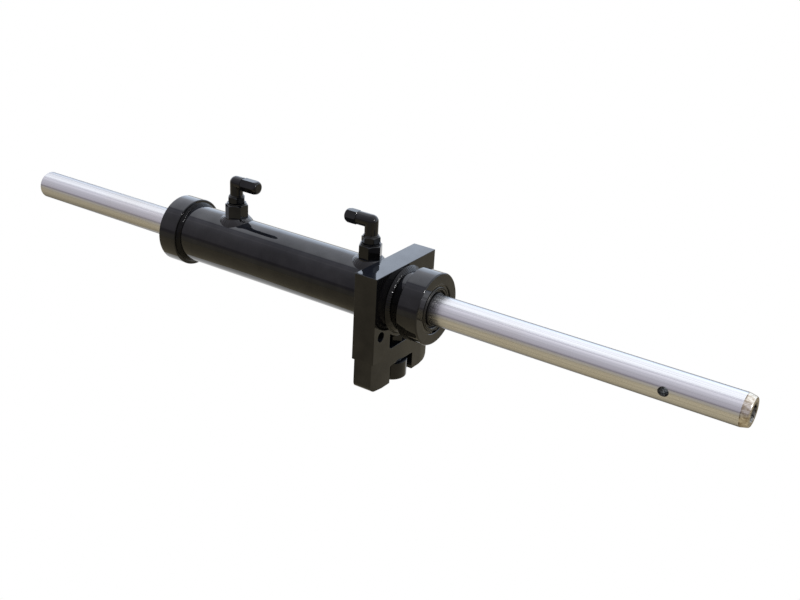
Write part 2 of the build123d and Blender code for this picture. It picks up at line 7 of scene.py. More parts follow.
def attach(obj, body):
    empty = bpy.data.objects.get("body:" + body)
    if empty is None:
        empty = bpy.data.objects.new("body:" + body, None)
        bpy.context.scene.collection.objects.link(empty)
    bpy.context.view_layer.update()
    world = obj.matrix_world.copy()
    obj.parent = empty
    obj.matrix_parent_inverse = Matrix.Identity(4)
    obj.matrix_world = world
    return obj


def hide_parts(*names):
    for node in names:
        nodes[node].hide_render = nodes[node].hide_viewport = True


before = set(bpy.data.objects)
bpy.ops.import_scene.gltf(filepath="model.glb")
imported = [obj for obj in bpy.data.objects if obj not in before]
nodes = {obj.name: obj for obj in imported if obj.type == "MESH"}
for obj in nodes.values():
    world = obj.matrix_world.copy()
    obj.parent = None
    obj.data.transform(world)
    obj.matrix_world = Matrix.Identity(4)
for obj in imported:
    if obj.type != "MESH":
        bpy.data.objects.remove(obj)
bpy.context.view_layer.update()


# Camera, floor and light.
# The part is held up in the air over a wide beige floor. A sheet of white paper lies where the
# camera looks past it, and soft daylight comes from high windows behind it.
class Finish:
    """A procedural material: one Principled shader and the patterns that feed it, in metres."""

    def __init__(self, name, **values):
        self.material = bpy.data.materials.new(name)
        self.material.use_nodes = True
        self.tree = self.material.node_tree
        self.shader = self.tree.nodes["Principled BSDF"]
        coordinates = self.tree.nodes.new("ShaderNodeTexCoord").outputs
        self.place, self.facing = coordinates["Object"], coordinates["Normal"]
        self.normal = None
        for socket, value in values.items():
            self.feed(self.shader.inputs[socket.replace("_", " ")], value)

    def feed(self, socket, value):
        """Links a pattern to a socket, or sets a plain value on it."""
        if isinstance(value, bpy.types.NodeSocket):
            self.tree.links.new(value, socket)
        else:
            socket.default_value = value

    def node(self, kind, inputs, **settings):
        """Adds a node, feeds its inputs and returns its first output."""
        node = self.tree.nodes.new("ShaderNode" + kind)
        for setting, value in settings.items():
            setattr(node, setting, value)
        for socket, value in inputs.items():
            self.feed(node.inputs[socket], value)
        return node.outputs[0]

    def patches(self, per_metre, stretch=(1, 1, 1), detail=3.0, rough=0.5):
        """Soft random patches from 0 to 1; a small stretch value draws them out that way."""
        scale = [per_metre * share for share in stretch]
        spread = self.node("Mapping", {"Vector": self.place, "Scale": scale})
        return self.node("TexNoise", {
            "Vector": spread, "Scale": 1.0, "Detail": detail, "Roughness": rough})

    def ramp(self, pattern, low, high, first, last):
        """Turns low to high in a pattern into first to last, and holds it outside."""
        return self.node("MapRange", {
            "Value": pattern, "From Min": low, "From Max": high, "To Min": first, "To Max": last})

    def part(self, vector, axis):
        """One axis, X, Y or Z, of a place or a direction."""
        split = self.tree.nodes.new("ShaderNodeSeparateXYZ")
        self.feed(split.inputs[0], vector)
        return split.outputs[axis]

    def combine(self, first, second, operation="ADD"):
        """Adds two patterns, or joins them by another operation."""
        return self.node("Math", {0: first, 1: second}, operation=operation)

    def mix(self, share, first, second):
        """Colour from first to second as the share pattern goes from 0 to 1."""
        node = self.tree.nodes.new("ShaderNodeMix")
        node.data_type = "RGBA"
        # A mix node has its share in input 0, its two colours in 6 and 7 and their mix in output 2.
        self.feed(node.inputs[0], share)
        for index, value in ((6, first), (7, second)):
            plain = not isinstance(value, bpy.types.NodeSocket)
            self.feed(node.inputs[index], (*value, 1.0) if plain else value)
        return node.outputs[2]

    def colour(self, value):
        self.feed(self.shader.inputs["Base Color"], value)

    def roughness(self, value):
        self.feed(self.shader.inputs["Roughness"], value)

    def relief(self, height, depth):
        """Adds a pattern of that depth in metres to the surface."""
        inputs = {"Height": height, "Distance": depth, "Strength": 1.0}
        if self.normal:
            inputs["Normal"] = self.normal
        self.normal = self.node("Bump", inputs)
        self.feed(self.shader.inputs["Normal"], self.normal)


def put(name, data):
    """Puts a new object with that mesh, lamp or camera in the scene."""
    item = bpy.data.objects.new(name, data)
    bpy.context.scene.collection.objects.link(item)
    return item


def sheet(name, corners, height):
    """A flat sheet with those corners, seen from above in turning order."""
    mesh = bpy.data.meshes.new(name)
    mesh.from_pydata([(x, y, height) for x, y in corners], [], [range(len(corners))])
    return put(name, mesh)


floor_height = -0.90
floor = sheet("floor", [(-9, -2.0), (9, -2.0), (16, 16), (-16, 16)], floor_height)
floor_finish = Finish("floor_beige")
floor_finish.colour(floor_finish.mix(
    floor_finish.patches(3.0, detail=6.0), (0.375, 0.315, 0.19), (0.45, 0.38, 0.235)))
floor_finish.roughness(floor_finish.ramp(floor_finish.patches(40.0), 0.3, 0.7, 0.5, 0.75))
floor_finish.relief(floor_finish.patches(300.0, detail=5.0), 0.0004)
floor.data.materials.append(floor_finish.material)

paper_rise = 0.002
paper = sheet("white_paper", [
    (0.50, 0.98), (0.08, 2.7), (-1.9, 10.8), (-4.7, 7.4),
    (-6.9, 4.4), (-2.2, 0.82), (-0.93, -0.11), (-0.27, 0.40),
], floor_height + paper_rise)
paper_finish = Finish("paper_white", Roughness=0.8)
paper_grain = paper_finish.patches(25.0, detail=6.0)
paper_finish.colour(paper_finish.mix(paper_grain, (0.90, 0.90, 0.90), (0.96, 0.96, 0.96)))
rays = paper_finish.tree.nodes.new("ShaderNodeLightPath").outputs
seen_or_mirrored = paper_finish.combine(rays["Is Camera Ray"], rays["Is Glossy Ray"], "MAXIMUM")
seen = paper_finish.combine(seen_or_mirrored, rays["Is Transmission Ray"], "MAXIMUM")
glow = paper_finish.node("Emission", {"Color": (1, 1, 1, 1), "Strength": 1.0})
blend_shader = paper_finish.tree.nodes.new("ShaderNodeMixShader")
paper_finish.feed(blend_shader.inputs[0], seen)
paper_finish.feed(blend_shader.inputs[1], paper_finish.shader.outputs[0])
paper_finish.feed(blend_shader.inputs[2], glow)
paper_finish.feed(paper_finish.tree.nodes["Material Output"].inputs["Surface"], blend_shader.outputs[0])
paper.data.materials.append(paper_finish.material)

# The surroundings change with the angle about the cylinder's line: from the floor in front, past a
# dark strip at its end, up the grey room, over the ceiling and down to the windows behind.
room = bpy.data.worlds.new("room")
room.use_nodes = True
bpy.context.scene.world = room
sky, links = room.node_tree.nodes, room.node_tree.links
direction = sky.new("ShaderNodeTexCoord")
split = sky.new("ShaderNodeSeparateXYZ")
forward = sky.new("ShaderNodeMath")
forward.operation = "MULTIPLY"
forward.inputs[1].default_value = -1.0
turn = sky.new("ShaderNodeMath")
turn.operation = "ARCTAN2"
share = sky.new("ShaderNodeMapRange")
share.inputs["From Min"].default_value = -pi
share.inputs["From Max"].default_value = pi
tone = sky.new("ShaderNodeValToRGB")
links.new(direction.outputs["Generated"], split.inputs[0])
links.new(split.outputs["Y"], forward.inputs[0])
links.new(split.outputs["Z"], turn.inputs[0])
links.new(forward.outputs[0], turn.inputs[1])
links.new(turn.outputs[0], share.inputs["Value"])
links.new(share.outputs[0], tone.inputs[0])
links.new(tone.outputs[0], sky["Background"].inputs["Color"])
# A ramp holds colours up to 1, so the stops go in as shares of the brightest colour. Each is an
# angle in degrees, up from level in front, and the colour that lies there.
brightest = 2.5
sky["Background"].inputs["Strength"].default_value = brightest
stops = (
    (-180, (0.55, 0.50, 0.42)), (-90, (0.38, 0.33, 0.25)), (-26, (0.38, 0.34, 0.26)),
    (-22, (0.40, 0.37, 0.31)), (-9, (0.42, 0.39, 0.35)), (-6, (0.33, 0.31, 0.31)),
    (-2, (0.26, 0.24, 0.27)), (3, (0.27, 0.25, 0.29)), (7, (0.47, 0.45, 0.51)),
    (20, (0.52, 0.50, 0.57)), (40, (0.59, 0.58, 0.65)), (51, (0.67, 0.66, 0.75)),
    (61, (0.74, 0.73, 0.82)), (64, (0.98, 0.97, 1.07)), (67, (0.80, 0.79, 0.89)),
    (77, (0.82, 0.82, 0.94)), (80, (0.58, 0.58, 0.67)), (83, (0.60, 0.60, 0.69)),
    (85, (1.22, 1.25, 1.34)), (140, (1.24, 1.28, 1.40)), (150, (1.62, 1.82, 2.14)),
    (176, (1.62, 1.82, 2.14)), (180, (1.2, 1.2, 1.2)),
)
while len(tone.color_ramp.elements) < len(stops):
    tone.color_ramp.elements.new(0.5)
for stop, (angle, colour) in zip(tone.color_ramp.elements, stops):
    stop.position = (angle + 180) / 360
    stop.color = (*[value / brightest for value in colour], 1.0)

# One small bright window far beyond the right end puts the glints on beads and turned edges.
window_light = bpy.data.lights.new("far_window", "AREA")
window_light.shape = "RECTANGLE"
window_light.size, window_light.size_y = 0.30, 0.22
window_light.energy = 13.0
window_lamp = put("far_window", window_light)
window_distance = 3.0
towards_lamp = Vector((0.83, -0.08, 0.55)).normalized()
facing_part = towards_lamp.to_track_quat("Z", "Y").to_matrix().to_4x4()
window_lamp.matrix_world = Matrix.Translation(towards_lamp * window_distance) @ facing_part

# The camera stands where the photograph was taken from, and leans over as much.
camera_place = (0.6859, -1.0897, 0.6156)
camera_data = bpy.data.cameras.new("view")
camera_data.lens = 49.70
camera_data.sensor_width = 36.0
camera_data.clip_end = 60.0
camera = put("view", camera_data)
azimuth, elevation, roll = radians(32.477), radians(24.340), radians(3.347)
ahead = Vector((-sin(azimuth) * cos(elevation), cos(azimuth) * cos(elevation), -sin(elevation)))
level = Vector((cos(azimuth), sin(azimuth), 0))
over = level.cross(ahead)
right = cos(roll) * level + sin(roll) * over
upper = -sin(roll) * level + cos(roll) * over
camera.matrix_world = Matrix.Translation(camera_place) @ Matrix(
    (right, upper, -ahead)).transposed().to_4x4()
bpy.context.scene.camera = camera
bpy.context.scene.view_settings.view_transform = "Standard"


# Rod: one bar of hard-chromed steel, ground and then polished.
# Its right end is turned to a long shallow taper. Each end has a tapped hole, and a plain hole
# runs across the bar near the right end.
axis_height = 34.5
rod_middle = -110.0
rod_half = 562.5
rod_radius = 20.0


def about_cylinder(along, radius, angle):
    """Place in millimetres on a piece turned about the cylinder's axis."""
    return along, -radius * cos(angle), axis_height + radius * sin(angle)


def eased(points, corner, closed=True, steps=3):
    """The outline with each corner off the axis rounded by about that much."""
    result = []
    count = len(points)
    for index, point in enumerate(points):
        here = Vector(point[:2])
        size = point[2] if len(point) > 2 else corner
        if (not closed and index in (0, count - 1)) or here.y < 1e-6 or size <= 0:
            result.append(tuple(here))
            continue
        before, after = Vector(points[index - 1][:2]), Vector(points[(index + 1) % count][:2])
        reach = min(size, (before - here).length * 0.45, (after - here).length * 0.45)
        start = here + (before - here).normalized() * reach
        end = here + (after - here).normalized() * reach
        for step in range(steps + 1):
            t = step / steps
            result.append(tuple(start * (1 - t) ** 2 + here * 2 * t * (1 - t) + end * t * t))
    return result


def grid_piece(rows, close_rows=True, close_columns=True):
    """A bmesh skin over rows of places in millimetres, one row beside the other."""
    skin = bmesh.new()
    points = [[skin.verts.new(Vector(place) * 0.001) for place in row] for row in rows]
    across = len(points) if close_rows else len(points) - 1
    along = len(points[0]) if close_columns else len(points[0]) - 1
    for i in range(across):
        for j in range(along):
            first, second = points[i], points[(i + 1) % len(points)]
            k = (j + 1) % len(first)
            skin.faces.new((first[j], first[k], second[k], second[j]))
    return skin


def spun(profile, place, steps=160, closed=True):
    """A turned piece: the profile of (along, radius) points carried round."""
    rows = []
    for step in range(steps):
        angle = 2 * pi * step / steps
        rows.append([place(along, radius, angle) for along, radius in profile])
    return grid_piece(rows, close_columns=closed)


def make_piece(name, skin, finish, slot, body, *replaced, smooth=32):
    """Turns a skin into a piece of the object, shaded by its real edges."""
    bmesh.ops.remove_doubles(skin, verts=skin.verts, dist=1e-6)
    bmesh.ops.dissolve_degenerate(skin, edges=skin.edges, dist=1e-6)
    bmesh.ops.recalc_face_normals(skin, faces=skin.faces)
    mesh = bpy.data.meshes.new(name)
    skin.to_mesh(mesh)
    skin.free()
    for face in mesh.polygons:
        face.use_smooth = True
    mesh.set_sharp_from_angle(angle=radians(smooth))
    mesh.materials.append(finish.material)
    piece = put(name, mesh)
    facing = piece.modifiers.new("edge_shading", "WEIGHTED_NORMAL")
    facing.keep_sharp = True
    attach(piece, body)
    if replaced:
        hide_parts(*replaced)
    return piece


def cut_away(piece, skin):
    """Takes the shape of a second skin out of a piece."""
    mesh = bpy.data.meshes.new("cutter")
    mesh.materials.append(piece.data.materials[0])
    bmesh.ops.remove_doubles(skin, verts=skin.verts, dist=1e-6)
    bmesh.ops.recalc_face_normals(skin, faces=skin.faces)
    skin.to_mesh(mesh)
    skin.free()
    cutter = put("cutter", mesh)
    modifier = piece.modifiers.new("cut", "BOOLEAN")
    modifier.object = cutter
    modifier.operation = "DIFFERENCE"
    modifier.solver = "EXACT"
    piece.modifiers.move(len(piece.modifiers) - 1, 0)
    bpy.context.view_layer.update()
    facing = piece.modifiers["edge_shading"]
    facing.show_viewport = False
    shaped = bpy.data.meshes.new_from_object(piece.evaluated_get(bpy.context.evaluated_depsgraph_get()))
    facing.show_viewport = True
    piece.modifiers.remove(modifier)
    old, piece.data = piece.data, shaped
    bpy.data.meshes.remove(old)
    bpy.data.objects.remove(cutter)
    bpy.data.meshes.remove(mesh)


thread_radius, thread_pitch, thread_depth = 10.2, 1.5, 0.75
hole_depth, thread_end = 45.0, 40.0
mouth = 1.2
mouth_radius = thread_radius + mouth
mouth_edge = mouth_radius + 0.35
rod_steps = 160


def tapped_hole(end, inwards):
    """Rows of a tapped hole's wall, from its mouth in the end face down to its floor."""
    columns = []
    for step in range(rod_steps):
        angle = 2 * pi * step / rod_steps
        column = [(end, mouth_edge), (end + inwards * 0.3, mouth_radius)]
        depth = mouth * 0.8
        while depth < thread_end:
            turns = (depth / thread_pitch + step / rod_steps) % 1.0
            groove = 1.0 - abs(2 * turns - 1.0)
            run_out = min(1.0, (thread_end - depth) / 3)
            radius = thread_radius + thread_depth * min(1.0, groove * 1.35) * run_out
            if depth < mouth * 1.4:
                radius = min(radius, mouth_radius + 0.8 - depth * 0.8)
            column.append((end + inwards * depth, radius))
            depth += thread_pitch / 6
        floor_end = end + inwards * hole_depth
        column += [(end + inwards * (hole_depth - 4), thread_radius),
                   (end + inwards * (hole_depth - 0.6), thread_radius),
                   (floor_end, thread_radius - 0.6), (floor_end, 0.0)]
        columns.append([about_cylinder(along, radius, angle) for along, radius in column])
    return columns


left_end, right_end = rod_middle - rod_half, rod_middle + rod_half
# Two grooves beside the piston hold its lock rings.
groove_half, groove_width, groove_floor = 12.25, 3.1, 18.0
left_groove, right_groove = rod_middle - groove_half, rod_middle + groove_half
taper_length, taper_drop = 9.5, 2.25
bar_outline = eased([
    (left_end, mouth_edge), (left_end, rod_radius - 1.0), (left_end + 1.0, rod_radius),
    (left_groove - groove_width, rod_radius), (left_groove - groove_width, groove_floor),
    (left_groove, groove_floor), (left_groove, rod_radius),
    (right_groove, rod_radius), (right_groove, groove_floor),
    (right_groove + groove_width, groove_floor), (right_groove + groove_width, rod_radius),
    (right_end - taper_length, rod_radius, 1.5), (right_end, rod_radius - taper_drop, 1.7),
    (right_end, mouth_edge),
], 0.3, closed=False)
left_hole, right_hole = tapped_hole(left_end, 1), tapped_hole(right_end, -1)
rod_rows = []
for step in range(rod_steps):
    angle = 2 * pi * step / rod_steps
    outside = [about_cylinder(along, radius, angle) for along, radius in bar_outline]
    rod_rows.append(left_hole[step][::-1] + outside[1:-1] + right_hole[step])

chrome = Finish("chromed_rod", Metallic=1.0, Specular_Tint=(0.22, 0.22, 0.23, 1.0),
                Anisotropic=0.78, Anisotropic_Rotation=0.25)
# The grinding marks run round the bar, so mirror images blur along it only.
round_the_bar = chrome.node("Tangent", {}, direction_type="RADIAL", axis="X")
chrome.feed(chrome.shader.inputs["Tangent"], round_the_bar)
polish_and_reflection_lines = chrome.patches(420.0, stretch=(0.0015, 1, 1), detail=5.0, rough=0.75)
scratches = chrome.patches(1300.0, stretch=(0.0012, 1, 1), detail=1.0)
waves = chrome.patches(110.0, stretch=(0.01, 1, 1), detail=2.0)
grinding = chrome.patches(700.0, stretch=(1, 0.03, 0.03), detail=3.0)
tarnish = chrome.patches(16.0, stretch=(0.35, 1, 1), detail=5.0)
# The long lighter and darker lines along the bar in its colour are partly polish and partly painted
# reflection streaks of the room.
bright = chrome.mix(
    chrome.ramp(polish_and_reflection_lines, 0.36, 0.64, 0.0, 1.0), (0.65, 0.65, 0.655), (0.83, 0.83, 0.835))
scored = chrome.mix(chrome.ramp(scratches, 0.66, 0.74, 0.0, 0.7), bright, (0.36, 0.35, 0.34))
chrome.colour(chrome.mix(chrome.ramp(tarnish, 0.52, 0.72, 0.0, 0.45), scored, (0.70, 0.66, 0.60)))
chrome.roughness(chrome.ramp(chrome.combine(polish_and_reflection_lines, tarnish), 0.8, 1.2, 0.18, 0.28))
chrome.relief(polish_and_reflection_lines, 0.000005)
chrome.relief(waves, 0.000022)
chrome.relief(grinding, 0.000003)
rod_skin = grid_piece(rod_rows, close_columns=False)
rod_bar = make_piece("rod_bar", rod_skin, chrome, "rod_chrome", "rod", "rod")

cross_hole_x, cross_hole_radius = right_end - 96.0, 6.25
cross_hole = eased([
    (-30.0, 0.0), (-30.0, 9.2), (-20.3, 7.3), (-19.6, cross_hole_radius),
    (19.6, cross_hole_radius), (20.3, 7.3), (30.0, 9.2), (30.0, 0.0),
], 0.3, closed=False)


def about_cross_hole(along, radius, angle):
    """Place in millimetres on a piece turned about the cross hole's line."""
    return cross_hole_x + radius * cos(angle), along, axis_height + radius * sin(angle)


cut_away(rod_bar, spun(cross_hole, about_cross_hole, 64, closed=False))

# The ends are turned after the plating, so the taper and both end faces show bare, stained steel;
# the holes are drilled and oily inside, and painted dark as the shade within them.
turned_steel = Finish("turned_steel", Metallic=1.0, Specular_Tint=(0.6, 0.6, 0.6, 1.0))
turning = turned_steel.patches(900.0, stretch=(1, 0.05, 0.05), detail=3.0)
stain = turned_steel.patches(330.0, stretch=(0.5, 1, 1), detail=4.0, rough=0.7)
bare = turned_steel.mix(
    turned_steel.ramp(stain, 0.38, 0.62, 0.0, 1.0), (0.40, 0.33, 0.24), (0.84, 0.79, 0.69))
# A dark, broken ring is painted where the taper begins.
taper_start = (right_end - taper_length) * 0.001
past_start = turned_steel.combine(
    turned_steel.part(turned_steel.place, "X"), taper_start, "SUBTRACT")
from_start = turned_steel.node("Math", {0: past_start}, operation="ABSOLUTE")
near_start = turned_steel.ramp(from_start, 0.0004, 0.0012, 1.0, 0.0)
broken = turned_steel.ramp(turned_steel.patches(240.0, detail=3.0), 0.42, 0.56, 0.0, 0.8)
turned_steel.colour(turned_steel.mix(
    turned_steel.combine(near_start, broken, "MULTIPLY"), bare, (0.17, 0.14, 0.11)))
turned_steel.roughness(turned_steel.ramp(stain, 0.35, 0.65, 0.34, 0.20))
turned_steel.relief(turning, 0.000012)
bored_steel = Finish("bored_steel", Metallic=0.7)
bore_oil_and_shade = bored_steel.patches(260.0, detail=5.0, rough=0.65)
# The bores are coloured mostly near-black: oil, and painted shade of the hole's inside.
bored_steel.colour(bored_steel.mix(
    bored_steel.ramp(bore_oil_and_shade, 0.42, 0.62, 0.0, 1.0), (0.035, 0.03, 0.026), (0.40, 0.39, 0.35)))
bored_steel.roughness(bored_steel.ramp(bore_oil_and_shade, 0.3, 0.7, 0.28, 0.5))
bored_steel.relief(bored_steel.patches(1100.0, detail=3.0), 0.00002)
rod_bar.data.materials.append(turned_steel.material)
rod_bar.data.materials.append(bored_steel.material)
turned_index, bored_index = 1, 2
for face in rod_bar.data.polygons:
    spot = face.center * 1000
    from_axis = hypot(spot.y, spot.z - axis_height)
    from_cross_hole = hypot(spot.x - cross_hole_x, spot.z - axis_height)
    in_cross_hole = from_cross_hole < cross_hole_radius + 1.1 and from_axis < rod_radius
    if from_axis < mouth_radius + 0.2 or in_cross_hole:
        face.material_index = bored_index
    elif spot.x > right_end - taper_length - 0.8 or spot.x < left_end + 0.3:
        face.material_index = turned_index


# Black gloss paint over the whole cylinder body.
# One sprayed coat of enamel with a faint orange peel. Its thin patches, a little dust with a painted
# sheen on the tops and the tool marks under it still show.
def black_paint(name, peel=1.0, marks=None, mark_depth=0.000004, shade=0.0038, dust=1.0, gloss=1.47):
    """Black enamel. Marks is how the tool marks stretch, shade its grey and gloss its IOR."""
    finish = Finish(name, IOR=gloss)
    cloud = finish.patches(9.0, detail=5.0)
    thin = finish.patches(55.0, detail=6.0, rough=0.6)
    deep = (shade * 0.80, shade * 0.80, shade * 0.95)
    pale = (shade * 1.6, shade * 1.45, shade * 1.2)
    faded = finish.ramp(finish.combine(cloud, thin, "MULTIPLY"), 0.15, 0.45, 0.0, 1.0)
    coat = finish.mix(faded, deep, pale)
    # The enamel lies thickest and glossiest on what faces up, and a little fine dust lies there, under a
    # painted bluish sheen of the sky.
    up = finish.part(finish.facing, "Z")
    lying = finish.ramp(up, 0.60, 0.95, 0.0, 0.055 * dust)
    dust_and_sheen_patches = finish.ramp(finish.patches(75.0, detail=6.0, rough=0.7), 0.3, 0.7, 0.8, 1.15)
    dusty = finish.combine(lying, dust_and_sheen_patches, "MULTIPLY")
    # Up-facing tops are mixed towards a pale blue-grey: fine dust and a painted sheen of the bright sky
    # that lightens them.
    finish.colour(finish.mix(dusty, coat, (0.085, 0.115, 0.185)))
    uneven = finish.ramp(finish.patches(22.0, detail=5.0, rough=0.6), 0.35, 0.65, 0.80, 1.20)
    thick = finish.ramp(up, 0.78, 0.86, 0.5, 0.5 + 0.28 * dust)
    finish.feed(finish.shader.inputs["Specular IOR Level"], finish.combine(thick, uneven, "MULTIPLY"))
    finish.roughness(finish.ramp(finish.patches(120.0, detail=5.0, rough=0.65), 0.35, 0.75, 0.025, 0.07))
    finish.relief(finish.patches(260.0, detail=2.0), 0.000010 * peel)
    finish.relief(finish.patches(60.0, detail=2.0), 0.00003 * peel)
    if marks:
        finish.relief(finish.patches(1400.0, stretch=marks, detail=3.0), mark_depth)
    return finish


# Barrel: a drawn steel tube, skimmed along its length and painted.
# Its ends go into the collars and the bracket is welded round it.
def cover(name, finish):
    """Gives a node that stays as it came from the CAD its material."""
    nodes[name].data.materials.clear()
    nodes[name].data.materials.append(finish.material)


barrel_radius = 40.0
cover("barrel", black_paint("barrel_paint", marks=(0.02, 1, 1)))


# End collars: turned steel rings welded onto the barrel, which hold the glands.
# Each has a small bevel at its edges and a groove inside for the retaining ring.
collar_paint = black_paint("collar_paint", marks=(1, 0.04, 0.04), mark_depth=0.000003)
collar_faces = {"left": (-388.5, 1), "right": (47.5, -1)}
edge_bevels = {"left": 0.8, "right": 1.3}
collar_radius, collar_length = 47.5, 30
rear_bevel, lead_in = 0.8, 0.8
barrel_seat, seat_start = 40.05, 18
gland_seat, ring_groove = 32.5, 34.35
groove_start, groove_end = 1.6, 4.15


def behind_face(side):
    """How a piece turned about the cylinder's axis is placed, by depth behind a collar's face."""
    face, inwards = collar_faces[side]
    return lambda depth, radius, angle: about_cylinder(face + inwards * depth, radius, angle)


for side, bevel in edge_bevels.items():
    outline = eased([
        (0, gland_seat + lead_in), (0, collar_radius - bevel, bevel / 2),
        (bevel, collar_radius, bevel / 2), (collar_length - rear_bevel, collar_radius),
        (collar_length, collar_radius - rear_bevel), (collar_length, barrel_seat),
        (seat_start, barrel_seat), (seat_start, gland_seat), (groove_end, gland_seat),
        (groove_end, ring_groove), (groove_start, ring_groove), (groove_start, gland_seat),
        (lead_in, gland_seat),
    ], 0.35)
    make_piece(f"collar_ring_{side}", spun(outline, behind_face(side), 192),
               collar_paint, "gloss_black_paint", "cylinder", f"collar_{side}")


# Round welds: the beads between barrel and collars, and between barrel and bracket.
# Run by hand with the gun in one pass each, so the bead's scales lie close together like coins.
# The enamel over them is duller and painted darker than on the barrel, a painted shade of the corners
# they lie in, most of all in the collars' corners.
def bead_paint(name, grain, **values):
    """Black enamel over the rough skin of a weld, whose grain is that deep in metres."""
    paint = black_paint(name, peel=1.5, **values)
    paint.relief(paint.patches(420.0, detail=4.0, rough=0.6), grain)
    return paint


weld_paint = bead_paint("weld_paint", 0.00005, dust=0.3)
# The beads in the corners at the bracket's front and at the collars get darker, duller enamel: painted
# shade.
shaded_front_paint = bead_paint("shaded_front_bead_paint", 0.00007, shade=0.003, dust=0.2, gloss=1.36)
shaded_corner_paint = bead_paint("shaded_corner_paint", 0.00006, shade=0.0025, dust=0.1, gloss=1.27)


def round_bead(corner, away, leg, pitch, seed, ripple):
    """A fillet bead round the barrel, in the corner at that place along it."""
    rows = []
    across, steps_per_scale = 12, 9
    scales = round(2 * pi * (barrel_radius + leg / 2) / pitch)
    steps = scales * steps_per_scale
    for step in range(steps):
        angle = 2 * pi * step / steps
        drift = noise.noise(Vector((cos(angle) * 4, sin(angle) * 4, seed)))
        quick_drift = noise.noise(Vector((cos(angle) * 9, sin(angle) * 9, seed + 5)))
        size = leg * (1 + 0.05 * drift)
        row = [(corner, barrel_radius + size), (corner, barrel_radius),
               (corner + away * size, barrel_radius)]
        for column in range(1, across):
            t = column / across
            bow = sin(pi * t)
            phase = (step / steps_per_scale + (1.7 * bow + 0.5 * quick_drift) / pitch) % 1.0
            coin = sin(pi * phase ** 0.6)
            lift = (0.45 + 0.3 * quick_drift) * bow + ripple * (coin - 0.6) * bow ** 0.6
            row.append((corner + away * max(0.02, size * (1 - t) + lift * 0.7),
                        barrel_radius + max(0.02, size * t + lift * 0.7)))
        rows.append([about_cylinder(along, radius, angle) for along, radius in row])
    return grid_piece(rows)


for side, (face, inwards) in collar_faces.items():
    bead = round_bead(face + inwards * collar_length, inwards, leg=3.9, pitch=2.6,
                      seed=3.0 + inwards, ripple=0.16)
    make_piece(f"collar_bead_{side}", bead, shaded_corner_paint, "painted_weld", "cylinder",
               f"collar_weld_{side}", smooth=60)
plate_front, plate_rear = 0.0, -33.0
front_bead = round_bead(plate_front, 1, leg=5.6, pitch=3.4, seed=8.0, ripple=0.26)
make_piece("bracket_bead_front", front_bead, shaded_front_paint, "painted_weld", "cylinder",
           "bracket_weld_front", smooth=60)
rear_bead = round_bead(plate_rear, -1, leg=3.9, pitch=3.0, seed=11.0, ripple=0.2)
make_piece("bracket_bead_rear", rear_bead, weld_paint, "painted_weld", "cylinder",
           "bracket_weld_rear", smooth=60)


# Mounting bracket: a thick steel plate round the barrel, flame cut and then milled.
# It has a window below the barrel. Its foot is milled back at the rear, its front corners slope
# back and a slot splits it into two legs.
bracket_paint = black_paint("bracket_paint", marks=(0.05, 1, 0.05))
plate_half, foot_half = 66.5, 65.5
plate_thickness, foot_thickness = plate_front - plate_rear, 30.0


def arc_points(centre, radius, start, end, steps):
    """Places on an arc in the bracket's face, as (y, height above the cylinder's axis)."""
    points = []
    for step in range(steps + 1):
        angle = radians(start + (end - start) * step / steps)
        points.append((centre[0] + radius * cos(angle), centre[1] + radius * sin(angle)))
    return points


slot_half, slot_top, slot_corner = 26.0, -86.0, 2
foot_bottom, foot_corner = -110.9, 9
shoulder, plate_top = -69.5, 48.7
outline = [(plate_half, shoulder), (plate_half, plate_top), (-plate_half, plate_top),
           (-plate_half, shoulder), (-foot_half, shoulder)]
outline += arc_points((-foot_half + foot_corner, foot_bottom + foot_corner), foot_corner, 180, 270, 10)
outline += [(-slot_half, foot_bottom)]
outline += arc_points((-slot_half + slot_corner, slot_top - slot_corner), slot_corner, 180, 90, 5)
outline += arc_points((slot_half - slot_corner, slot_top - slot_corner), slot_corner, 90, 0, 5)
outline += [(slot_half, foot_bottom)]
outline += arc_points((foot_half - foot_corner, foot_bottom + foot_corner), foot_corner, 270, 360, 10)
outline += [(foot_half, shoulder)]
# The window's upper edge is an arc about the cylinder's axis, its lower corners are round.
window_arc, window_half, window_bottom, window_corner = 48.5, 30.5, -60, 5
window_side = degrees(asin(29.9 / window_arc))
corner_y, corner_height = window_half - window_corner, window_bottom + window_corner
window = arc_points((0, 0), window_arc, 270 - window_side, 270 + window_side, 24)
window += [(30.2, -38.6), (30.45, -39.6), (window_half, -40.8)]
window += arc_points((corner_y, corner_height), window_corner, 0, -90, 8)
window += arc_points((-corner_y, corner_height), window_corner, 270, 180, 8)
window += [(-window_half, -40.8), (-30.45, -39.6), (-30.2, -38.6)]
loops = [outline, arc_points((0, 0), barrel_seat, 0, 360 - 2.5, 143), window]
bolt_reach, bolt_hole = 51.5, 6.75
for bolt_y in (-bolt_reach, bolt_reach):
    loops.append(arc_points((bolt_y, -axis_height), bolt_hole, 0, 360 - 7.5, 47))
bracket_skin = bmesh.new()
for loop in loops:
    ring = []
    for y, height in loop:
        ring.append(bracket_skin.verts.new((0, y * 0.001, (axis_height + height) * 0.001)))
    for index, corner in enumerate(ring):
        bracket_skin.edges.new((corner, ring[(index + 1) % len(ring)]))
bmesh.ops.triangle_fill(bracket_skin, edges=bracket_skin.edges[:], use_beauty=True)
swept = bmesh.ops.extrude_face_region(bracket_skin, geom=bracket_skin.faces[:])
for corner in swept["geom"]:
    if isinstance(corner, bmesh.types.BMVert):
        corner.co.x -= plate_thickness * 0.001
bmesh.ops.recalc_face_normals(bracket_skin, faces=bracket_skin.faces)
bracket = make_piece("bracket_plate", bracket_skin, bracket_paint, "gloss_black_paint", "cylinder",
                     "mounting_bracket")

